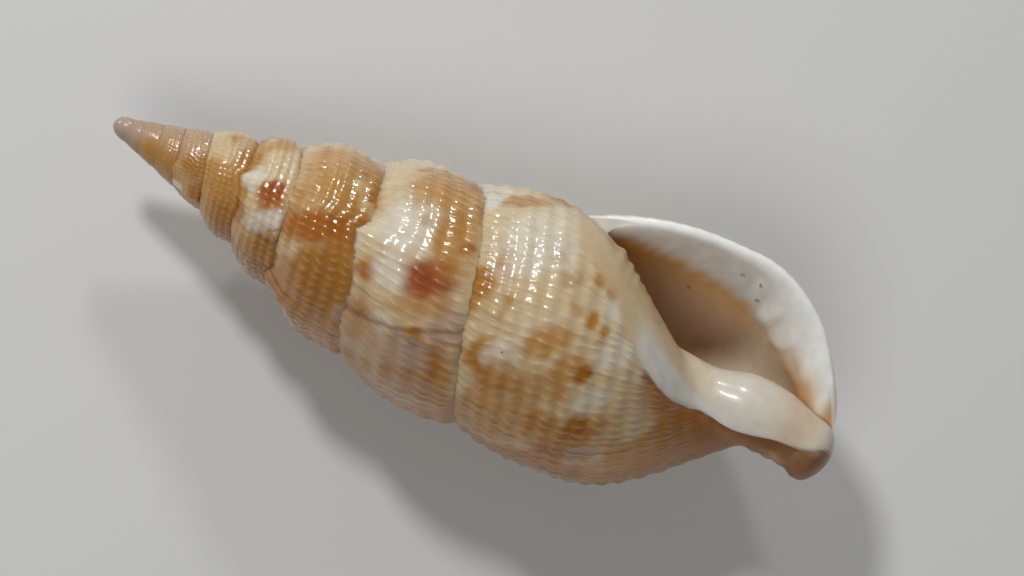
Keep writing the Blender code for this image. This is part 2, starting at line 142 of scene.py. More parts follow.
# Aperture. Parts run from 0 at its rear corner to 1 at the canal.
CORNER_CORD = 7.5  # where the rear corner is, on the turn before the lip
HOLLOW_DEPTH, HOLLOW_END = 0.75, 0.12  # turns that the hollow runs back, and its rounded end
HOLLOW_REACH = 0.85  # part of the base that the hollow reaches
REAR_ROUND, FRONT_ROUND = 0.07, 0.05  # parts over which its corners round off
ROOM_FLOOR = 0.1  # how softly its room runs out
WALL = 0.75  # wall thickness behind the lip
RIM, RIM_BULGE = 0.45, 0.40  # how thick the lip's rounded edge is, and how far it reaches on
RIM_ENDS = 0.08  # part at either end over which that reach dies out
LABRUM = 1.00  # how much the lip swells inwards, just behind its edge
LABRUM_RISE, LABRUM_FALL = 0.055, 0.14  # turns over which it swells and thins again
LABRUM_SIDE = 0.75  # share that it gains towards the canal
SIDE_AT, SIDE_SPAN = 0.35, 0.40  # part where that gain starts, and how long it takes
STEEPEST = 1.5  # the wall is not thickened for steeper slopes than this
SLOPE_STEP = 0.1  # half the length over which the slope is read
TEETH, TOOTH_HEIGHT = 11, 0.38
TOOTH_DRIFT = 0.25  # teeth; how unevenly they are spaced
FAINT_TEETH, FULL_TEETH = 0.30, 0.65  # parts between which they grow to their full height
FAINT_SHARE = 0.35  # and their share of it before
TOOTH_START, TOOTH_RISE = 0.008, 0.025  # turns; where they start, and the length of their rise
TOOTH_FADE, TOOTH_FALL = 0.045, 0.07  # turns; where they begin to fade, and for how long

# How it lies: turned about its axis, then about Y, and then moved.
REST_ROLL, REST_TILT = math.radians(11.58), math.radians(-5.26)
REST_AT = (-30.6248, -0.1248, 7.2877)  # where its own origin, at the apex, then lies

# Mesh density.
STATION = 0.115  # length between two stations
FEWEST_STATIONS = 60  # a turn
CORD_COLUMNS = 6  # columns a cord
FINE_CORDS, BASE_COLUMN = 16, 0.25  # past this cord, columns are this many cords apart
TIP_COLUMNS, RIM_ROWS = 10, 7
LABRUM_ROWS, WALL_ROWS, DEEP_ROWS = 20, 18, 26  # rows in the hollow, up to each depth
WALL_DEPTH = 0.14  # turns; the rows are wider apart past it
DOME_ROWS, DOME_COLUMNS = 16, 49
MERGE = 0.002  # points nearer than this are one
NOISE_SIZE = 128  # noise repeats after this many units


def eased(values, place):
    """A smooth curve through evenly spaced values, read at a fractional index."""
    values = np.asarray(values, float)
    place = np.clip(place, 0, len(values) - 1.0001)
    left = np.floor(place).astype(int)
    part = place - left
    slopes = np.gradient(values)
    start, end = values[left], values[left + 1]
    return (
        start * (1 + 2 * part) * (1 - part) ** 2
        + end * (3 - 2 * part) * part**2
        + slopes[left] * part * (1 - part) ** 2
        - slopes[left + 1] * part**2 * (1 - part)
    )


def ramp(value):
    """0 below 0, 1 above 1 and a smooth step between."""
    value = np.clip(value, 0, 1)
    return value * value * (3 - 2 * value)


def rise(value, start, full):
    """0 before start, 1 after full and a smooth step between. Full may lie below start."""
    return ramp((value - start) / (full - start))


def blend(start, end, share):
    return start + (end - start) * ramp(share)


def ridge(phase, width):
    """1 half-way between whole numbers of phase, falling towards 0 over width either side."""
    off = (phase - np.floor(phase) - 0.5) / width
    return np.exp(-(off**2))


def noise(x, y, seed):
    """Smooth random values from 0 to 1 that change over a unit of x and y."""
    table = np.random.default_rng(seed).random((NOISE_SIZE, NOISE_SIZE))
    left, low = np.floor(x).astype(int), np.floor(y).astype(int)
    u, v = ramp(x - left), ramp(y - low)
    a, b = left % NOISE_SIZE, low % NOISE_SIZE
    c, d = (left + 1) % NOISE_SIZE, (low + 1) % NOISE_SIZE
    return (
        table[a, b] * (1 - u) * (1 - v)
        + table[c, b] * u * (1 - v)
        + table[a, d] * (1 - u) * v
        + table[c, d] * u * v
    )


def rough(x, y, seed):
    """Noise with two finer octaves."""
    total = noise(x, y, seed) + 0.5 * noise(2 * x, 2 * y, seed + 1)
    return (total + 0.25 * noise(4 * x, 4 * y, seed + 2)) / 1.75


def girth(turn):
    return eased(GIRTHS, (turn - APEX_TURN) * 2)


def suture(turn):
    """Place of the suture. It climbs before each varix, sinks back and wanders a little."""
    place = eased(SUTURES, (turn - APEX_TURN) * 2)
    for old_lip, _ in VARICES[:-1]:
        before = (turn - old_lip + CLIMB_START) / CLIMB_START
        climb = ramp(before * CLIMB_SPEED) * (1 - ramp(before))
        place = place - CLIMB * girth(turn) * climb
    short = noise(arc(turn) / SHORT_WANDER, 0 * turn, 33)
    long = noise(arc(turn) / LONG_WANDER, 0 * turn, 34)
    wander = (short + long - 1) * rise(turn, STEADY_LIP, STEADY_BEFORE)
    return place + SUTURE_WANDER * wander * np.minimum(girth(turn) / FULL_GIRTH, 1)


def pitch(turn):
    """Distance from a suture to the next, without the climbs."""
    return eased(SUTURES, (turn + 1 - APEX_TURN) * 2) - eased(SUTURES, (turn - APEX_TURN) * 2)


def side(turn):
    """1 on the side away from the lip, 0 on the lip's side."""
    return 0.5 - 0.5 * np.cos(2 * math.pi * turn)


def stem(turn, along):
    """Radius of the stem that the canal runs along, with the ring near its end."""
    ring = FASCIOLE_HEIGHT * side(turn) * np.exp(-(((along - FASCIOLE_AT) / FASCIOLE_WIDTH) ** 2))
    size = np.minimum(STEM_RADIUS, STEM_SHARE * girth(turn)) + ring
    tip = np.clip((along - TIP_ROUND) / (TIP_END - TIP_ROUND), 0, 1)
    return size * np.sqrt(1 - tip**2)


def base_start(turn):
    """Place where a whorl begins to draw in."""
    share = blend(SPIRE_BASE, BODY_BASE, turn - BASE_TURN)
    return eased(SUTURES, (turn - APEX_TURN) * 2) + share * pitch(turn)


def base_length(turn):
    """Length of a whorl's base. It is longer where the inner lip covers it."""
    inner = ramp(1 - abs(turn + 1) / INNER_SPAN)
    return (BASE_LENGTH + INNER_BASE * inner + SIDE_LENGTH * side(turn)) * girth(turn)


def envelope(turn, along):
    """Radius of a whorl with neither shoulder nor varix."""
    full = girth(turn)
    fall = np.clip((along - base_start(turn)) / base_length(turn), 0, 1.6)
    drawn = np.cos(math.pi / 2 * np.minimum(fall ** (1 + SIDE_POWER * side(turn)), 2))
    drawn = (drawn + np.sqrt(drawn**2 + 4 * BASE_FLOOR**2)) / 2
    core = stem(turn, along)
    lip = np.clip((along - LIP_ROUND) / (SLOT_END - LIP_ROUND), 0, 1)
    return core + (full - core) * drawn * np.sqrt(1 - lip**2)


def varix(turn):
    """Height of the old lips: each rises slowly and drops at once."""
    height = np.zeros_like(turn)
    for place, top in VARICES:
        climb = ramp((turn - place + VARIX_RISE) / VARIX_RISE)
        drop = 1 - ramp((turn - place) / VARIX_DROP)
        height = np.maximum(height, top * climb * drop)
    return height


def callus_edge(turn, along):
    """Degrees past turn -1 at which the callus ends."""
    wander = EDGE_WANDER * (noise(along / EDGE_WAVE, 0 * along, 41) - 0.5)
    return eased(CALLUS_EDGE, (along - CALLUS_START) / CALLUS_STEP) + wander + 0 * turn


def callus(turn, along):
    """Thickness of the inner lip on the turn that it covers, with its knobs."""
    place = (along - CALLUS_START) / CALLUS_STEP
    past = np.degrees(2 * math.pi * (turn + 1))
    slope = blend(THIN_SLOPE, CALLUS_SLOPE, (along - THICK_AT) / THICK_SPAN)
    edge = ramp((callus_edge(turn, along) - past) / slope) * ramp(place + 0.5)
    inside = 1 - ramp(-(turn + 1) / CALLUS_DEPTH)
    knobs = 0
    for centre, reach, height in NODULES:
        knobs = knobs + height * np.exp(-(((along - centre) / reach) ** 2))
    knobs = knobs * np.exp(-((past / NODULE_SPAN) ** 2)) * edge
    return eased(CALLUS_HEIGHT, place) * edge * inside + knobs


def radius(turn, along):
    """Radius of a whorl: it swells from the whorl before to its own envelope and varix."""
    seam = envelope(turn - 1, suture(turn))
    age = (turn - YOUNG_TURN) / YOUNG_TURNS
    shoulder = blend(YOUNG_SHOULDER, SHOULDER, age)
    shoulder = blend(shoulder, BODY_SHOULDER, (turn + BODY_TURNS) / BODY_TURNS)
    swell = np.clip((along - suture(turn)) / (shoulder * pitch(turn)), 0, 1)
    swell = 1 - (1 - swell) ** blend(YOUNG_CURVE, SHOULDER_CURVE, age)
    full = envelope(turn, along)
    share = np.clip((full - stem(turn, along)) / girth(turn), 0, 1)
    return seam + (full + varix(turn) * share - seam) * swell


def column_place(turn, cord):
    """Place of a cord along the axis. Cords narrow towards the canal and meet at sutures."""
    last = np.clip(turn + 1, 0, 1)
    joint = SPIRE_CORDS / LAST_CORD
    spread = (SPIRE_SHARE - joint) / (joint - joint**2)
    spread = spread + (LIP_SPREAD - spread) * last
    part = cord / LAST_CORD
    part = part * (1 + spread - spread * part)
    body = suture(turn) + (SLOT_END - suture(turn)) * part
    spire = suture(turn) + (suture(turn + 1) - suture(turn)) * part / SPIRE_SHARE
    body = np.where(turn < -1 + 1e-9, spire, body)
    tip = (cord - LAST_CORD) * (TIP_END - SLOT_END)
    return np.where(cord > LAST_CORD, SLOT_END + tip, body)


# Lengths grown and riblets counted, summed up turn by turn.
FINE_TURNS = np.linspace(APEX_TURN - 1, 0.5, 4000)
FINE_STEP = FINE_TURNS[1] - FINE_TURNS[0]
FINE_ARC = np.cumsum(2 * math.pi * girth(FINE_TURNS)) * FINE_STEP
FINE_RIBS = np.cumsum(np.interp(FINE_TURNS, np.arange(APEX_TURN, 1), RIBS)) * FINE_STEP


def arc(turn):
    """Length grown until this turn, for markings that keep their size."""
    return np.interp(turn, FINE_TURNS, FINE_ARC)


def rib(turn, cord):
    """Count of riblets, which wander a little from cord to cord."""
    wander = RIB_WANDER * (noise(arc(turn) / 3.0, cord / 2.2, 5) - 0.5)
    jitter = RIB_JITTER * (noise(arc(turn) / 0.9, cord, 6) - 0.5)
    return np.interp(turn, FINE_TURNS, FINE_RIBS) + wander + jitter


def wrinkled(turn):
    """How strong the growth lines are: most before a varix and on the wrinkled places."""
    old = np.zeros_like(turn)
    for place, _ in VARICES:
        old = np.maximum(old, ramp((turn - place + OLD_LIP) / OLD_LIP) * (turn <= place))
    for place, reach in WRINKLES:
        old = np.maximum(old, np.exp(-(((turn - place) / reach) ** 2)))
    return old


def sculpture(turn, cord, along):
    """(height of cords, riblets, threads and growth lines, how strong the beads are)."""
    smooth = 1 - (1 - COVERED_LEFT) * ramp(callus(turn, along) / COVERED)
    smooth = smooth * ramp((turn - SMOOTH_TURN) / SMOOTH_TURNS)
    smooth = smooth * (1 - (1 - LIP_LEFT) * ramp((turn + LIP_SMOOTH) / LIP_SMOOTH))
    scale = np.minimum((girth(turn) / FULL_GIRTH) ** RELIEF_POWER, RELIEF_MOST) * smooth
    older = ramp((turn - OLDER_TURN) / OLDER_TURNS)
    swell = 0.5 - 0.5 * np.cos(2 * math.pi * cord)
    fade = (1 - (1 - CORD_LEFT) * rise(cord, *CORD_FADE)) * (1 - rise(cord, *CORD_END))
    cords = CORD_HEIGHT * swell * fade * blend(YOUNG_CORD, 1, (turn - OLDER_TURN) / OLDER_TURNS)
    beads = 1 - rise(cord, *BEAD_FADE)
    count = rib(turn, cord)
    uneven = RIB_LEAST + RIB_SPAN * noise(0.8 * count, cord, 7)
    crests = RIB_VALLEY + (1 - RIB_VALLEY) * np.maximum(swell, 1 - older)
    ribs = RIB_HEIGHT * ridge(count, RIB_WIDTH) * crests * uneven
    threads = rise(noise(count / 1.7, cord * 1.3, 9), *THREAD_PATCHES)
    ribs = ribs + THREAD_HEIGHT * ridge(count + 0.5, THREAD_WIDTH) * threads
    ribs = ribs * beads * (YOUNG_RIB + (1 - YOUNG_RIB) * older)
    lines = noise(arc(turn) / 0.30, cord / 1.5, 8) - 0.5
    lines = LINE_HEIGHT * lines * (1 + 2 * wrinkled(turn))
    return scale * (cords + ribs + lines), beads * smooth


def wind(turn, along, size):
    """Points in millimetres, X from the apex to the canal."""
    angle = LIP_ANGLE + 2 * math.pi * turn
    across = eased(BOW, along / BOW_STEP) + size * np.cos(angle)
    return np.stack(np.broadcast_arrays(along, across, size * np.sin(angle)), axis=-1)


# Colours, as seen on a screen.
CREAM = (0.82, 0.74, 0.59)
WHITE = (0.86, 0.83, 0.76)
TAN = (0.73, 0.54, 0.28)
HONEY = (0.66, 0.45, 0.17)
ORANGE = (0.65, 0.37, 0.04)
GOLD = (0.72, 0.50, 0.18)
OCHRE = (0.62, 0.37, 0.06)
RUST = (0.58, 0.24, 0.03)
BROWN = (0.42, 0.24, 0.10)
MAUVE = (0.71, 0.62, 0.55)
PINK = (0.56, 0.36, 0.24)
FASCIOLE = (0.48, 0.34, 0.24)
DARK = (0.20, 0.12, 0.07)
GLAZE = (0.84, 0.83, 0.80)
PARIETAL = (0.80, 0.70, 0.54)
LIP = (0.94, 0.94, 0.92)
PEARL = (0.88, 0.82, 0.72)
CAVITY = (0.92, 0.72, 0.42)
DEEP = (0.90, 0.78, 0.67)
TIP = (0.68, 0.59, 0.52)

# The callus is flushed with tan near the canal, and the shell is brown along its edge, partly a stain
# and partly painted shadow under that edge.
FLUSH = (0.82, 0.69, 0.52)
STAIN_AND_SHADOW = (0.60, 0.36, 0.14)
STAIN_SHADOW_WIDTH = 17.0  # degrees
STAIN_SHADOW_START, STAIN_SHADOW_END = (44.0, 47.0), (55.0, 53.0)  # it comes in and goes out between these
WHITE_START, FLUSH_AT, FLUSH_REACH = 42.6, 58.6, 2.2
BORDER = (-40.0, -16.0)  # degrees inside the callus's edge between which its border whitens

# Ground colour: colour, warmth at which it begins and at which it is full, strength.
WARMTHS = (
    (TAN, 0.53, 0.69, 1.0), (HONEY, 0.62, 0.76, 0.8), (ORANGE, 0.74, 0.86, 0.4),
    (WHITE, 0.46, 0.32, 0.8),
)
CLOUD_SIZE, BAND_SIZE = (5.0, 2.8), (3.2, 1.5)  # along a whorl and across it, a band's in cords
OLD_WARMTH, LOWER_WARMTH_AND_SHADE = 0.08, 0.16  # added on old whorls, and away from the lip, where it is partly painted shade on the lower side
OLD_COLOUR = (-1.6, -2.8)  # turns between which the first comes in
YOUNG_COLOUR = (-4.4, -6.6)  # turns between which the first whorls' colour comes in
TIP_COLOUR = (3.2, 1.0)  # places between which the apex's colour comes in
LIP_WHITE = (-0.040, -0.010)  # turns between which the outside turns white at the lip

# Markings: turn, cord, half size in turns, half size in cords, colour, strength.
MARK_SLANT = 0.010  # turns that a marking leans back, for each cord
MARK_EDGE = (1.30, 0.55)  # half sizes between which a marking comes in
MARK_RAGGED, MARK_GRAIN = 0.50, 1.1  # half sizes that its edge strays, and over what length
MARKS = (
    # from turn -6 to -5
    (-5.61, 1.0, 0.030, 1.6, GLAZE, 0.95), (-5.52, 2.5, 0.045, 2.5, ORANGE, 0.9),
    (-5.76, 4.0, 0.060, 3.0, HONEY, 0.8), (-5.66, 5.6, 0.050, 1.6, ORANGE, 0.6),
    # from turn -5 to -4
    (-4.98, 3.0, 0.030, 4.0, CREAM, 0.8), (-4.72, 3.0, 0.110, 4.0, TAN, 0.9),
    (-4.60, 3.0, 0.070, 4.0, HONEY, 0.7), (-4.53, 3.0, 0.050, 4.0, BROWN, 0.35),
    # from turn -4 to -3
    (-3.88, 3.4, 0.055, 2.2, CREAM, 0.9), (-3.79, 4.0, 0.034, 1.7, ORANGE, 0.95),
    (-3.79, 3.8, 0.028, 1.4, RUST, 0.45), (-3.76, 4.4, 0.030, 1.4, ORANGE, 0.7),
    (-3.80, 1.4, 0.042, 1.2, WHITE, 0.95), (-3.755, 0.5, 0.022, 0.8, TAN, 0.9),
    (-3.722, 4.0, 0.026, 2.4, GLAZE, 0.8), (-3.66, 4.0, 0.045, 3.5, HONEY, 0.6),
    (-3.70, 0.6, 0.040, 0.9, OCHRE, 0.8), (-3.56, 3.5, 0.050, 4.0, BROWN, 0.3),
    (-3.93, 3.0, 0.030, 4.0, TAN, 0.8),
    # from turn -3 to -2
    (-2.90, 2.4, 0.070, 2.6, TAN, 0.7), (-2.86, 5.5, 0.012, 0.5, OCHRE, 0.8),
    (-2.93, 4.8, 0.040, 1.4, HONEY, 0.6), (-2.82, 2.3, 0.050, 2.2, TAN, 0.7),
    (-2.765, 2.6, 0.030, 3.2, ORANGE, 0.95), (-2.70, 3.6, 0.045, 2.8, HONEY, 0.9),
    (-2.64, 3.0, 0.070, 4.0, HONEY, 0.9), (-2.60, 4.0, 0.040, 2.2, ORANGE, 0.5),
    (-2.53, 4.0, 0.030, 3.0, RUST, 0.45), (-2.545, 1.9, 0.022, 0.9, WHITE, 0.9),
    (-2.648, 5.8, 0.018, 0.5, MAUVE, 0.9), (-2.56, 0.8, 0.030, 1.2, TAN, 0.8),
    # from turn -2 to -1
    (-1.90, 1.4, 0.060, 1.5, CREAM, 0.8), (-1.835, 2.0, 0.055, 1.7, WHITE, 0.9),
    (-1.775, 4.0, 0.0275, 1.50, RUST, 0.95), (-1.748, 4.2, 0.020, 1.3, ORANGE, 0.45),
    (-1.757, 1.9, 0.028, 0.95, WHITE, 0.95), (-1.741, 0.75, 0.014, 0.65, ORANGE, 0.6),
    (-1.718, 1.6, 0.018, 1.5, CREAM, 0.9), (-1.728, 5.2, 0.028, 0.9, MAUVE, 0.9),
    (-1.733, 3.6, 0.016, 1.6, TAN, 0.6), (-1.664, 3.2, 0.028, 1.8, MAUVE, 0.95),
    (-1.665, 0.8, 0.040, 1.0, HONEY, 0.8), (-1.58, 3.4, 0.055, 2.2, MAUVE, 0.6),
    (-1.845, 4.8, 0.060, 1.3, TAN, 0.8), (-1.925, 3.8, 0.055, 2.4, TAN, 0.9),
    (-1.952, 2.3, 0.008, 0.5, OCHRE, 0.5), (-1.835, 5.4, 0.010, 0.45, OCHRE, 0.7),
    (-1.85, 3.0, 0.012, 0.6, OCHRE, 0.35), (-1.61, 0.9, 0.040, 1.0, BROWN, 0.3),
    (-1.96, 5.4, 0.020, 0.6, HONEY, 0.7), (-1.50, 3.0, 0.050, 4.0, TAN, 0.7),
    # The first mark below, a thin brown line just before the old lip at -1.696, is painted shadow
    # along that lip's step.
    (-1.703, 3.4, 0.004, 3.6, BROWN, 0.55), (-1.675, 0.7, 0.006, 0.8, BROWN, 0.5),
    # from turn -1 to 0
    (-0.875, 3.4, 0.060, 2.6, WHITE, 0.8), (-0.83, 8.2, 0.026, 0.8, WHITE, 0.95),
    (-0.77, 8.6, 0.030, 1.2, WHITE, 0.8), (-0.80, 3.9, 0.040, 1.6, CREAM, 0.9),
    (-0.70, 8.0, 0.018, 1.1, WHITE, 0.9), (-0.66, 9.6, 0.020, 1.2, CREAM, 0.7),
    (-0.725, 2.6, 0.020, 1.5, WHITE, 0.8), (-0.668, 0.6, 0.022, 0.6, CREAM, 0.9),
    (-0.618, 8.0, 0.016, 1.1, MAUVE, 0.8), (-0.752, 4.6, 0.022, 1.6, TAN, 0.9),
    (-0.73, 6.2, 0.020, 1.2, TAN, 0.8), (-0.695, 4.6, 0.024, 1.8, HONEY, 0.6),
    (-0.945, 2.0, 0.014, 1.2, ORANGE, 0.7), (-0.962, 3.0, 0.016, 2.0, TAN, 0.8),
    (-0.62, 2.0, 0.050, 2.6, TAN, 0.95), (-0.69, 2.6, 0.026, 1.3, HONEY, 0.7),
    (-0.565, 4.4, 0.030, 2.6, ORANGE, 0.6), (-0.58, 10.2, 0.045, 2.2, TAN, 0.8),
    (-0.53, 10.0, 0.040, 5.0, HONEY, 0.7), (-0.62, 13.4, 0.060, 2.4, HONEY, 0.5),
    (-0.54, 15.5, 0.150, 3.6, PINK, 0.8), (-0.858, 7.0, 0.013, 0.50, GOLD, 0.95),
    (-0.852, 7.8, 0.013, 0.48, GOLD, 0.95), (-0.798, 7.0, 0.013, 0.40, GOLD, 1.0),
    (-0.793, 7.8, 0.008, 0.30, GOLD, 0.7), (-0.731, 7.2, 0.014, 0.50, OCHRE, 1.0),
    (-0.688, 2.7, 0.011, 0.45, OCHRE, 0.5), (-0.661, 7.4, 0.022, 0.66, OCHRE, 1.0),
    (-0.656, 8.3, 0.011, 0.40, ORANGE, 0.55), (-0.654, 5.9, 0.011, 0.55, ORANGE, 0.6),
    (-0.565, 7.0, 0.020, 1.6, ORANGE, 0.8), (-0.86, 4.4, 0.012, 0.5, OCHRE, 0.30),
    (-0.84, 5.4, 0.014, 0.8, OCHRE, 0.35), (-0.757, 10.8, 0.007, 0.40, BROWN, 0.9),
    (-0.749, 11.2, 0.007, 0.40, DARK, 0.7), (-0.741, 11.6, 0.007, 0.40, BROWN, 0.8),
    (-0.60, 21.4, 0.200, 1.9, FASCIOLE, 0.95), (-0.66, 22.5, 0.160, 0.8, PINK, 0.4),
    (-0.70, 18.0, 0.110, 2.6, PINK, 0.9), (-0.95, 5.6, 0.050, 2.0, PEARL, 0.8),
    (-0.937, 0.4, 0.022, 0.6, GLAZE, 0.9),
)

# Inside the aperture, where tan tongues reach out between the ridges of the lip.
TONGUES, TONGUE_LENGTH = 15, 0.015  # how many, and turns that they reach
STREAK_REACH = 0.018  # turns that the tan's edge strays
TAN_INNER, TAN_SOFT = 0.006, 0.060  # turns; where tan starts inside, and how softly
DEEP_SOFT = 0.10  # turns over which it turns to greyish brown
FLOOR_PARTS, FLOOR_DEPTHS = (0.58, 0.78), (0.06, 0.11)  # pearly floor near the canal
TROUGH_AT, TROUGH_WIDTH = 0.87, 0.11  # part where a tan trough runs to the canal
TROUGH_END = (0.07, 0.13)  # turns between which it fades
# Pits: depth in turns, part of the way to the canal, half sizes, strength.
PITS = (
    (0.030, 0.50, 0.0035, 0.006, 0.5), (0.022, 0.57, 0.0022, 0.005, 0.9),
    (0.052, 0.60, 0.0035, 0.006, 0.6), (0.150, 0.25, 0.0025, 0.005, 0.9),
    (0.155, 0.31, 0.0030, 0.006, 0.7), (0.135, 0.42, 0.0025, 0.005, 0.6),
)


def linear(colour):
    """A screen colour as the renderer counts it."""
    colour = np.asarray(colour, float)
    return np.where(colour <= 0.04045, colour / 12.92, ((colour + 0.055) / 1.055) ** 2.4)


def plain(colour, shape):
    return np.broadcast_to(linear(colour), shape + (3,)).copy()


def mixed(colours, colour, amount):
    return colours + (linear(colour) - colours) * np.clip(amount, 0, 1)[..., None]


def clouded(turn, cord, along):
    """Ground colour in clouds and bands: warmer on old whorls and away from the lip, the latter partly
    painted shade on the lower side; the first whorls are greyish on the lip's side, partly painted
    sheen on their upper side.
    """
    clouds = rough(arc(turn) / CLOUD_SIZE[0], along / CLOUD_SIZE[1], 11)
    bands = rough(arc(turn) / BAND_SIZE[0], cord / BAND_SIZE[1], 14)
    warmth = 0.5 * (clouds + bands) + OLD_WARMTH * rise(turn, *OLD_COLOUR)
    # warmer on the lower side, away from the lip: partly its own colour, partly painted shade
    warmth = warmth + LOWER_WARMTH_AND_SHADE * side(turn) ** 2
    colours = plain(CREAM, turn.shape)
    for colour, start, full, strength in WARMTHS:
        colours = mixed(colours, colour, strength * rise(warmth, start, full))
    young = rise(turn, *YOUNG_COLOUR)
    colours = mixed(colours, TAN, 0.85 * young)
    # first whorls: honey on the lower side, partly its own colour and partly painted shade
    colours = mixed(colours, HONEY, 0.5 * side(turn) * young)
    # first whorls: greyish on the lip's side, the upper side, partly its own colour and partly painted
    # sheen
    lip_side = 1 - side(turn) + 0.5 * (clouds - 0.5)
    return mixed(colours, TIP, 0.7 * rise(lip_side, 0.35, 0.95) * young)


def marked(colours, turn, cord, along):
    """The markings over the ground colour, each an ellipse with a ragged edge."""
    length = arc(turn)
    stray_turn = MARK_RAGGED * (rough(length / MARK_GRAIN, along / MARK_GRAIN, 21) - 0.5)
    stray_cord = MARK_RAGGED * (rough(length / MARK_GRAIN, along / MARK_GRAIN, 24) - 0.5)
    for place, row, wide, tall, colour, strength in MARKS:
        past = turn - place + MARK_SLANT * (cord - row)
        reach = np.hypot(past / wide + stray_turn, (cord - row) / tall + stray_cord)
        colours = mixed(colours, colour, strength * rise(reach, *MARK_EDGE))
    return colours


def shaded_and_streaked(colours, turn, cord, along):
    """Warmer and streaked with brown away from the lip, the warmth partly painted shade on the lower
    side, and greyish at the apex.
    """
    aside = side(turn) ** 2
    grown = rise(girth(turn), 2, 6)
    # honey on the lower side: partly its own colour, partly painted shade
    colours = mixed(colours, HONEY, 0.45 * aside * grown)
    wave = arc(turn) + 0.8 * noise(arc(turn) / 2.5, cord / 1.2, 62)
    streaks = rise(rough(wave / 0.45, cord / 7.0, 61) * rise(cord, 12, 9), 0.66, 0.73)
    streaks = streaks * (0.08 + 0.35 * aside + 0.25 * wrinkled(turn))
    colours = mixed(colours, BROWN, streaks * grown)
    return mixed(colours, TIP, 0.9 * rise(along, *TIP_COLOUR))


def glazed(colours, turn, along):
    """The callus, tan at its rear and white in front, with brown along its edge: partly a stain,
    partly painted shadow under the edge.
    """
    bare = np.degrees(2 * math.pi * (turn + 1)) - callus_edge(turn, along)
    # brown just outside the callus's edge: partly a stain, partly painted shadow under the edge
    stain_and_shadow = np.exp(-((bare / STAIN_SHADOW_WIDTH) ** 2)) * rise(along, *STAIN_SHADOW_START)
    colours = mixed(colours, STAIN_AND_SHADOW, 0.85 * stain_and_shadow * rise(along, *STAIN_SHADOW_END))
    covered = rise(callus(turn, along), 0, 0.10)
    colours = mixed(colours, PARIETAL, 0.85 * covered)
    border = rise(along, WHITE_START, WHITE_START + 2.5) * rise(bare, *BORDER)
    thick = np.maximum(0.85 * rise(along, WHITE_START + 3, WHITE_START + 11), border)
    colours = mixed(colours, GLAZE, 0.95 * thick * covered)
    flush = np.exp(-(((along - FLUSH_AT) / FLUSH_REACH) ** 2))
    return mixed(colours, FLUSH, 0.50 * flush * covered)


def ground(turn, cord, along):
    """Colour of the outside, with dirt in the sutures and a white lip over all the rest."""
    colours = clouded(turn, cord, along)
    colours = marked(colours, turn, cord, along)
    colours = shaded_and_streaked(colours, turn, cord, along)
    colours = glazed(colours, turn, along)
    specks = rise(noise(arc(turn) / 0.28, cord, 31), 0.52, 0.67)
    dirt = rise(cord, 0.12, 0.02) * (0.30 + 0.70 * specks)
    colours = mixed(colours, BROWN, 0.80 * dirt * rise(girth(turn), 2, 4))
    return mixed(colours, LIP, 0.85 * rise(turn, *LIP_WHITE))


def tan_start(part, uneven):
    """Turns behind the lip at which the outer wall's white ends, in tongues and streaks."""
    tongues = TONGUES * part + 0.9 * noise(part * 7, 0 * part, 52)
    ridges = 0.5 + 0.5 * np.cos(2 * math.pi * tongues)
    edge = 0.004 + 0.040 * rise(part, 0, 0.50) + 0.016 * rise(part, 0.45, 0.80)
    return edge + STREAK_REACH * uneven + TONGUE_LENGTH * ridges * rise(part, 0, 0.15)


def hollow_colour(depth, part, outer):
    """Colour inside the aperture: a white lip, tan streaks behind it, then greyish brown."""
    colours = plain(LIP, depth.shape)
    uneven = rough(part * 30, depth * 12, 51) - 0.5
    edge = np.where(outer, tan_start(part, uneven), TAN_INNER)
    width = np.where(outer, 0.045 + 0.020 * rise(part, 0, 0.3), TAN_SOFT)
    colours = mixed(colours, CAVITY, 0.97 * rise(depth, edge, edge + width))
    past = np.where(outer, 0.085 + 0.02 * np.exp(-((part / 0.12) ** 2)), 0.05)
    colours = mixed(colours, DEEP, 0.95 * rise(depth, past, past + DEEP_SOFT))
    floor = rise(part, *FLOOR_PARTS) * rise(depth, *FLOOR_DEPTHS)
    colours = mixed(colours, PEARL, 0.85 * floor)
    start = 0.018 - 0.024 * rise(part, 0.78, 0.90) - 0.02 * rise(part, 0.92, 0.97)
    trough = np.exp(-(((part - TROUGH_AT) / TROUGH_WIDTH) ** 2))
    trough = np.maximum(trough, rise(part, 0.88, 0.93)) * rise(depth, start, start + 0.03)
    trough = trough * (1 - 0.8 * rise(depth, *TROUGH_END))
    colours = mixed(colours, TAN, 0.90 * np.where(outer, trough, 0.4 * trough))
    for deep, place, tall, wide, strength in PITS:
        reach = np.hypot((depth - deep) / tall, (part - place) / wide) + 0.8 * uneven
        colours = mixed(colours, BROWN, np.where(outer, strength, 0) * rise(reach, 1.3, 0.8))
    return colours


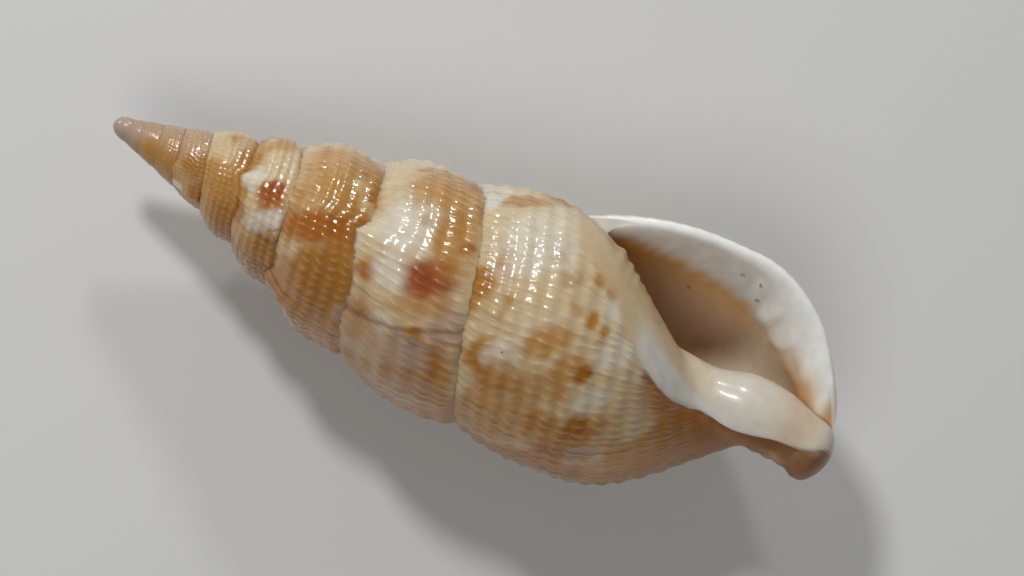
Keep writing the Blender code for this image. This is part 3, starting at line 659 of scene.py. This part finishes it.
class Surface:
    """Points, faces and what the material reads at each point, collected grid by grid."""

    def __init__(self):
        self.points, self.faces = [], []
        self.colours, self.marks = [], []
        self.count = 0

    def grid(self, points, colours, cord=0.0, ribs=0.0, beads=0.0):
        """Quads between the rows and columns of points."""
        rows, columns = points.shape[:2]
        index = self.count + np.arange(rows * columns).reshape(rows, columns)
        self.count += rows * columns
        quads = [index[:-1, :-1], index[1:, :-1], index[1:, 1:], index[:-1, 1:]]
        self.faces.append(np.stack(quads, axis=-1).reshape(-1, 4))
        self.points.append(points.reshape(-1, 3))
        self.colours.append(np.broadcast_to(colours, points.shape).reshape(-1, 3))
        marks = np.stack(np.broadcast_arrays(cord, ribs, beads), axis=-1)
        self.marks.append(np.broadcast_to(marks, (rows, columns, 3)).reshape(-1, 3))

    def outside(self, turns, cords, pinned=False):
        """The outside of the whorls. Pinned, its last column lies on the next whorl's start."""
        turn, cord = np.meshgrid(turns, cords, indexing="ij")
        along = column_place(turn, cord)
        height, beads = sculpture(turn, cord, along)
        size = radius(turn, along) + callus(turn, along) + height
        if pinned:
            size[:, -1] = envelope(turn, along)[:, -1]
        points = wind(turn, along, size)
        self.grid(points, ground(turn, cord, along), cord, rib(turn, cord), beads)


def stations(first, last):
    """Turns from first to last, about a station's length apart on the whorl's girth."""
    turns = [first]
    while turns[-1] < last:
        room = 2 * math.pi * float(girth(np.float64(turns[-1])))
        turns.append(turns[-1] + min(STATION / room, 1 / FEWEST_STATIONS))
    turns = np.array(turns)
    return first + (turns - first) * (last - first) / (turns[-1] - first)


def tooth(part):
    """The soft ridges inside the lip, 1 on each crest. They are faint near the suture."""
    place = TEETH * part + TOOTH_DRIFT * np.sin(7 * part)
    crest = (0.5 + 0.5 * np.cos(2 * math.pi * place)) ** 1.5
    crest = crest * (FAINT_SHARE + (1 - FAINT_SHARE) * rise(part, FAINT_TEETH, FULL_TEETH))
    return crest * np.sqrt(np.sin(math.pi * np.clip(part, 0, 1)))


def wall(depth, part, along):
    """Thickness of the outer wall, measured along the radius. The lip swells behind its edge."""
    swelling = LABRUM * (1 + LABRUM_SIDE * ramp((part - SIDE_AT) / SIDE_SPAN))
    onset = np.sqrt(1 - (1 - np.clip(depth / LABRUM_RISE, 0, 1)) ** 2)
    thick = RIM + (WALL - RIM + swelling) * onset
    thick = thick - swelling * ramp((depth - LABRUM_RISE) / LABRUM_FALL)
    change = radius(-depth, along + SLOPE_STEP) - radius(-depth, along - SLOPE_STEP)
    slope = np.clip(change / (2 * SLOPE_STEP), -STEEPEST, STEEPEST)
    return thick * girth(-depth) / girth(0.0) * np.sqrt(1 + slope**2)


def bulge(depth, part, size):
    """Turns that the lip's rounded edge reaches past turn 0. It dies out at the lip's ends."""
    ends = ramp(np.minimum(part, 1 - part) / RIM_ENDS)
    return RIM_BULGE * ends * (1 - ramp(depth / LABRUM_RISE)) / (2 * math.pi * size)


def hollow(depth, part, outer):
    """(place, radius) on the hollow's outer wall, or on its inner wall where outer is 0."""
    size = girth(-depth) / girth(0.0)
    rear = column_place(-1.0, CORNER_CORD) - suture(0.0)
    corner = suture(-depth) + rear * size
    end = base_start(-depth) + HOLLOW_REACH * base_length(-depth)
    along = corner + (np.minimum(end, SLOT_END) - corner) * part
    inner = radius(-1 - depth, along) + callus(-1 - depth, along)
    room = radius(-depth, along) - wall(depth, part, along) - inner
    toothed = ramp((depth - TOOTH_START) / TOOTH_RISE)
    toothed = toothed * (1 - ramp((depth - TOOTH_FADE) / TOOTH_FALL))
    room = room - TOOTH_HEIGHT * tooth(part) * toothed
    room = (room + np.sqrt(room**2 + ROOM_FLOOR**2)) / 2
    close = np.clip((depth - HOLLOW_DEPTH + HOLLOW_END) / HOLLOW_END, 0, 1)
    ends = np.clip(np.minimum(part / REAR_ROUND, (1 - part) / FRONT_ROUND), 0, 1)
    room = room * np.sqrt(1 - (1 - ends) ** 2) * np.sqrt(1 - close**2)
    return along, inner + room * outer


def spire_surface():
    """The whorls that stay uncovered, and the dome on the first."""
    surface = Surface()
    cords = np.linspace(0, SPIRE_CORDS, SPIRE_CORDS * CORD_COLUMNS + 1)
    surface.outside(stations(APEX_TURN, -1.0), cords, pinned=True)
    slices = np.linspace(0, math.pi / 2, DOME_ROWS)[:, None]
    around = np.linspace(0, -1, DOME_COLUMNS)[None, :]
    along = APEX_AT - APEX_LENGTH * np.cos(slices) + 0 * around
    surface.grid(wind(around, along, APEX_RADIUS * np.sin(slices)), linear(TIP))
    return surface


def row_at(turn, cords):
    """Places of cords at one turn, how far each is towards the slot's end, and their relief."""
    turns = np.full_like(cords, turn)
    places = column_place(turns, cords)
    height, _ = sculpture(turns, cords, places)
    return places, (places - places[0]) / (SLOT_END - places[0]), height


def add_rim(surface, places, part, height):
    """The lip's rounded edge, from the outside of the whorl to the wall inside."""
    edge_place, edge_size = hollow(0.0, part, 1.0)
    lip_size = radius(np.zeros_like(places), places) + height
    rows = []
    for angle in np.linspace(0, math.pi / 2, RIM_ROWS):
        along = edge_place + (places - edge_place) * math.cos(angle)
        size = edge_size + (lip_size - edge_size) * math.cos(angle)
        rows.append(wind(bulge(0.0, part, edge_size) * math.sin(angle), along, size))
    colours = mixed(plain(LIP, part.shape), TAN, 0.5 * rise(part, 0.93, 0.98))
    surface.grid(np.stack(rows), colours)


def hollow_depths():
    """Turns behind the lip of the hollow's rows, closest together at the lip's edge."""
    swell = LABRUM_RISE * (1 - np.cos(np.linspace(0, math.pi / 2, LABRUM_ROWS)))
    fall = np.linspace(LABRUM_RISE, WALL_DEPTH, WALL_ROWS)[1:]
    deep = np.linspace(WALL_DEPTH, HOLLOW_DEPTH, DEEP_ROWS)[1:]
    return np.concatenate([swell, fall, deep])


def add_outer_wall(surface, part):
    _, edge_size = hollow(0.0, part, 1.0)
    rings, colours = [], []
    for depth in hollow_depths():
        along, size = hollow(depth, part, 1.0)
        rings.append(wind(bulge(depth, part, edge_size) - depth, along, size))
        colours.append(hollow_colour(np.full_like(along, depth), part, True))
    surface.grid(np.stack(rings), np.stack(colours))


def add_inner_wall(surface, part, height):
    """The whorl before, seen inside the aperture. Its relief dies out past the lip."""
    rings, colours = [], []
    for depth in hollow_depths():
        along, size = hollow(depth, part, 0.0)
        rings.append(wind(-1 - depth, along, size + height * (1 - rise(depth, 0, 0.04))))
        colours.append(hollow_colour(np.full_like(along, depth), part, False))
    surface.grid(np.stack(rings)[::-1], np.stack(colours)[::-1])


def body_surface():
    """The last whorl, its lip, and the hollow inside the aperture."""
    surface = Surface()
    cords = np.concatenate([
        np.arange(0, FINE_CORDS, 1 / CORD_COLUMNS),
        np.arange(FINE_CORDS, LAST_CORD, BASE_COLUMN),
        LAST_CORD + np.sin(np.linspace(0, math.pi / 2, TIP_COLUMNS)),
    ])
    surface.outside(stations(-1.0, 0.0), cords)
    cords = cords[cords <= LAST_CORD]
    places, outer_part, height = row_at(0.0, cords)
    add_rim(surface, places, outer_part, height)
    add_outer_wall(surface, outer_part)
    _, inner_part, height = row_at(-1.0, cords[cords >= CORNER_CORD])
    add_inner_wall(surface, inner_part, height)
    return surface


def placed():
    """Where the shell's own frame lies in the row frame."""
    turn = Matrix.Rotation(REST_TILT, 4, "Y") @ Matrix.Rotation(REST_ROLL, 4, "X")
    return Matrix.Translation([value * MM for value in REST_AT]) @ turn


def node(tree, kind, links=(), **values):
    """A new node. Values name its properties or, with spaces as underscores, its inputs."""
    made = tree.nodes.new(kind)
    for name, value in values.items():
        if hasattr(made, name):
            setattr(made, name, value)
        else:
            made.inputs[name.replace("_", " ")].default_value = value
    for socket, source in links:
        tree.links.new(source, made.inputs[socket])
    return made


def maths(tree, operation, first, second=None, third=None):
    made = tree.nodes.new("ShaderNodeMath")
    made.operation = operation
    for socket, value in zip(made.inputs, (first, second, third)):
        if isinstance(value, (int, float)):
            socket.default_value = value
        elif value is not None:
            tree.links.new(value, socket)
    return made.outputs[0]


def mixed_node(tree, amount, first, second, blend_type="MIX"):
    made = tree.nodes.new("ShaderNodeMix")
    made.data_type = "RGBA"
    made.blend_type = blend_type
    sockets = (made.inputs[0], made.inputs[6], made.inputs[7])
    for socket, value in zip(sockets, (amount, first, second)):
        if isinstance(value, (int, float)):
            socket.default_value = value
        elif isinstance(value, tuple):
            socket.default_value = (*linear(value), 1)
        else:
            tree.links.new(value, socket)
    return made.outputs[2]


def wave(tree, phase, power, shift=0.0):
    """1 on each crest of phase, at the half-integers moved by shift."""
    turned = maths(tree, "MULTIPLY_ADD", phase, math.pi, shift * math.pi)
    crest = maths(tree, "ABSOLUTE", maths(tree, "SINE", turned))
    return maths(tree, "POWER", crest, power)


def noise_node(tree, place, scale, detail):
    made = node(tree, "ShaderNodeTexNoise", [("Vector", place)], Scale=scale, Detail=detail)
    return made.outputs[0]


# Material. Scales count features a metre.
RIBLET_POWER, THREAD_POWER, BEAD_POWER = 10.0, 16.0, 6.0  # how sharp their crests are
DOTS, DOT_FLOOR = 3.0, 0.3  # dots that a thread has on each cord, and its share between them
CREST_FLOOR = 0.2  # share of a riblet's crest left between cords
CLOUD_SCALE, GRAIN_SCALE, PATCH_SCALE, PIT_SCALE = 900.0, 3500.0, 260.0, 380.0
# Beads paler on their crests: partly their own colour, partly a painted highlight.
BEAD_COLOUR, BEAD_PALE_AND_LIT = (0.90, 0.86, 0.78), 0.20
SHADE_LEAST, SHADE_SPAN = 0.86, 0.28  # how much the clouds darken and lighten the colour
PIT_COLOUR, PIT_STRENGTH = (0.30, 0.18, 0.10), 0.7
PIT_SIZE, PIT_PATCH, PIT_BEADS = 0.05, 0.58, 0.3  # pits lie in patches, where beads are
ROUGHNESS, ROUGHNESS_SPAN, BEAD_SMOOTHER = 0.24, 0.16, 0.12
RIBLET_BUMP, THREAD_BUMP, GRAIN_BUMP, CLOUD_BUMP = 0.22, 0.14, 0.03, 0.15
BUMP_STRENGTH, BUMP_HEIGHT = 0.7, 0.00010
SPECULAR = 0.30
COAT, BEAD_COAT, COAT_ROUGHNESS = 0.15, 0.60, 0.05
TRANSLUCENT, TRANSLUCENT_RIBS = 0.65, (70.0, 130.0)  # it comes in between these riblets
SCATTER_COLOURS, SCATTER_LENGTH = (1.0, 0.75, 0.55), 0.0005


def tinted(tree, colour, place, beads, bead, cloud, patch):
    """The painted colour, paler on some bead crests (partly their own colour, partly a painted
    highlight), clouded, and with rare dark pits outside.
    """
    pale_and_lit = maths(tree, "MULTIPLY", bead, maths(tree, "MULTIPLY", patch, BEAD_PALE_AND_LIT))
    colour = mixed_node(tree, pale_and_lit, colour, BEAD_COLOUR)
    shade = maths(tree, "MULTIPLY_ADD", cloud, SHADE_SPAN, SHADE_LEAST)
    grey = node(tree, "ShaderNodeCombineXYZ", [(0, shade), (1, shade), (2, shade)])
    colour = mixed_node(tree, 1.0, colour, grey.outputs[0], "MULTIPLY")
    cells = node(tree, "ShaderNodeTexVoronoi", [("Vector", place)], Scale=PIT_SCALE)
    pit = maths(tree, "LESS_THAN", cells.outputs["Distance"], PIT_SIZE)
    pit = maths(tree, "MULTIPLY", pit, maths(tree, "GREATER_THAN", patch, PIT_PATCH))
    pit = maths(tree, "MULTIPLY", pit, maths(tree, "GREATER_THAN", beads, PIT_BEADS))
    return mixed_node(tree, maths(tree, "MULTIPLY", pit, PIT_STRENGTH), colour, PIT_COLOUR)


def relief_node(tree, cord, ribs, beads, swell, patch):
    """Fine crests on the riblets, and dotted threads between them."""
    crest = maths(tree, "MULTIPLY_ADD", swell, 1 - CREST_FLOOR, CREST_FLOOR)
    line = maths(tree, "MULTIPLY", wave(tree, ribs, RIBLET_POWER), crest)
    line = maths(tree, "MULTIPLY", line, beads)
    dots = wave(tree, maths(tree, "MULTIPLY", cord, DOTS), 2.0)
    dots = maths(tree, "MULTIPLY_ADD", dots, 1 - DOT_FLOOR, DOT_FLOOR)
    fine = maths(tree, "MULTIPLY", wave(tree, ribs, THREAD_POWER, 0.5), dots)
    fine = maths(tree, "MULTIPLY", fine, maths(tree, "MULTIPLY", beads, patch))
    return maths(tree, "MULTIPLY_ADD", line, RIBLET_BUMP, maths(tree, "MULTIPLY", fine, THREAD_BUMP))


def shell_material():
    material = bpy.data.materials.new("shell_surface")
    material.use_nodes = True
    tree = material.node_tree
    inputs = tree.nodes["Principled BSDF"].inputs
    colour = node(tree, "ShaderNodeAttribute", attribute_name="ground").outputs["Color"]
    marks = node(tree, "ShaderNodeAttribute", attribute_name="marks").outputs["Vector"]
    cord, ribs, beads = node(tree, "ShaderNodeSeparateXYZ", [(0, marks)]).outputs
    place = node(tree, "ShaderNodeTexCoord").outputs["Object"]
    cloud = noise_node(tree, place, CLOUD_SCALE, 4.0)
    grain = noise_node(tree, place, GRAIN_SCALE, 3.0)
    patch = noise_node(tree, place, PATCH_SCALE, 3.0)
    swell = wave(tree, cord, 2.0)
    bead = maths(tree, "MULTIPLY", wave(tree, ribs, BEAD_POWER), maths(tree, "MULTIPLY", swell, beads))

    colour = tinted(tree, colour, place, beads, bead, cloud, patch)
    tree.links.new(colour, inputs["Base Color"])
    gloss = maths(tree, "MULTIPLY_ADD", cloud, ROUGHNESS_SPAN, ROUGHNESS)
    gloss = maths(tree, "MULTIPLY_ADD", beads, -BEAD_SMOOTHER, gloss)
    tree.links.new(gloss, inputs["Roughness"])
    height = relief_node(tree, cord, ribs, beads, swell, patch)
    height = maths(tree, "MULTIPLY_ADD", grain, GRAIN_BUMP, height)
    height = maths(tree, "MULTIPLY_ADD", cloud, CLOUD_BUMP, height)
    bump = node(
        tree, "ShaderNodeBump", [("Height", height)], Strength=BUMP_STRENGTH, Distance=BUMP_HEIGHT
    )
    tree.links.new(bump.outputs[0], inputs["Normal"])
    tree.links.new(bump.outputs[0], inputs["Coat Normal"])
    tree.links.new(maths(tree, "MULTIPLY_ADD", beads, BEAD_COAT, COAT), inputs["Coat Weight"])
    inputs["Coat Roughness"].default_value = COAT_ROUGHNESS
    inputs["Specular IOR Level"].default_value = SPECULAR
    first, full = TRANSLUCENT_RIBS
    depth = node(
        tree, "ShaderNodeMapRange", [(0, ribs)], From_Min=first, From_Max=full, To_Max=TRANSLUCENT
    )
    tree.links.new(depth.outputs[0], inputs["Subsurface Weight"])
    inputs["Subsurface Radius"].default_value = SCATTER_COLOURS
    inputs["Subsurface Scale"].default_value = SCATTER_LENGTH
    return material


def build_piece(name, surface, material):
    """A mesh object from a surface, laid down as the solid lies."""
    points = np.concatenate(surface.points) * MM
    place = np.array(placed())
    points = points @ place[:3, :3].T + place[:3, 3]
    points[:, 2] = np.maximum(points[:, 2], 0)
    mesh = bpy.data.meshes.new(name)
    mesh.from_pydata(points.tolist(), [], np.concatenate(surface.faces).tolist())
    colours = mesh.attributes.new("ground", "FLOAT_COLOR", "POINT")
    flat = np.ones((len(points), 4), np.float32)
    flat[:, :3] = np.concatenate(surface.colours)
    colours.data.foreach_set("color", flat.ravel())
    marks = mesh.attributes.new("marks", "FLOAT_VECTOR", "POINT")
    marks.data.foreach_set("vector", np.concatenate(surface.marks).astype(np.float32).ravel())
    work = bmesh.new()
    work.from_mesh(mesh)
    bmesh.ops.remove_doubles(work, verts=work.verts, dist=MERGE * MM)
    work.to_mesh(mesh)
    work.free()
    mesh.shade_smooth()
    mesh.materials.append(material)
    piece = bpy.data.objects.new(name, mesh)
    bpy.context.scene.collection.objects.link(piece)
    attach(piece, "root")
    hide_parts("shell")
    print(name, "triangles", sum(len(face.vertices) - 2 for face in mesh.polygons))


# The view: straight down on the shell's own frame, with its axis drawn sloping down to the right.
AXIS_SLOPE = math.radians(24.3)
LOOK_AT = (33.55, 1.18)  # along the axis and across it
FRAME_WIDTH = 80.95  # width of the view at the axis
LENS, SENSOR = 120.0, 36.0

# Lights: name, direction (right, up, towards the camera), distance, size, power, seen in gloss.
LIGHTS = (
    ("key", (-0.22, 0.72, 0.70), 0.45, 0.07, 0.95, True),
    ("second", (0.12, 0.95, 0.32), 0.50, 0.06, 0.55, True),
    ("fill", (-0.15, -0.32, 0.93), 0.7, 0.40, 1.30, False),
)
LIT_PLACE = 33.0  # place along the axis that they point at
WORLD_STRENGTH = 0.12
FLOOR_REACH, FLOOR_COLOUR, FLOOR_ROUGHNESS = 1.5, (0.66, 0.66, 0.65, 1), 0.9


def add_camera():
    camera = bpy.data.cameras.new("camera")
    camera.lens = LENS
    camera.sensor_width = SENSOR
    camera.clip_start = 0.01
    holder = bpy.data.objects.new("camera", camera)
    bpy.context.scene.collection.objects.link(holder)
    own = Matrix.Rotation(AXIS_SLOPE, 4, "Z")
    own.translation = Vector((*LOOK_AT, FRAME_WIDTH * LENS / SENSOR)) * MM
    holder.matrix_world = placed() @ own
    bpy.context.scene.camera = holder
    return holder


def add_light(camera, name, direction, distance, size, power, glossy):
    """A round area light, its direction given in the camera's own."""
    light = bpy.data.lights.new(name, "AREA")
    light.shape = "DISK"
    light.size = size
    light.energy = power
    holder = bpy.data.objects.new(name, light)
    bpy.context.scene.collection.objects.link(holder)
    away = (camera.matrix_world.to_3x3() @ Vector(direction)).normalized()
    holder.location = placed() @ Vector((LIT_PLACE * MM, 0, 0)) + away * distance
    holder.rotation_euler = away.to_track_quat("Z", "Y").to_euler()
    holder.visible_glossy = glossy


def add_world():
    world = bpy.data.worlds.new("studio")
    world.use_nodes = True
    background = world.node_tree.nodes["Background"]
    background.inputs[0].default_value = (1, 1, 1, 1)
    background.inputs[1].default_value = WORLD_STRENGTH
    bpy.context.scene.world = world


def add_floor():
    mesh = bpy.data.meshes.new("floor")
    far = FLOOR_REACH
    corners = [(-far, -far, 0), (far, -far, 0), (far, far, 0), (-far, far, 0)]
    mesh.from_pydata(corners, [], [(0, 1, 2, 3)])
    material = bpy.data.materials.new("floor")
    material.use_nodes = True
    shader = material.node_tree.nodes["Principled BSDF"]
    shader.inputs["Base Color"].default_value = FLOOR_COLOUR
    shader.inputs["Roughness"].default_value = FLOOR_ROUGHNESS
    mesh.materials.append(material)
    floor = bpy.data.objects.new("floor", mesh)
    bpy.context.scene.collection.objects.link(floor)


def main():
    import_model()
    material = shell_material()
    build_piece("shell_spire", spire_surface(), material)
    build_piece("shell_body", body_surface(), material)
    add_floor()
    camera = add_camera()
    for light in LIGHTS:
        add_light(camera, *light)
    add_world()
    bpy.context.scene.view_settings.view_transform = "Standard"


main()
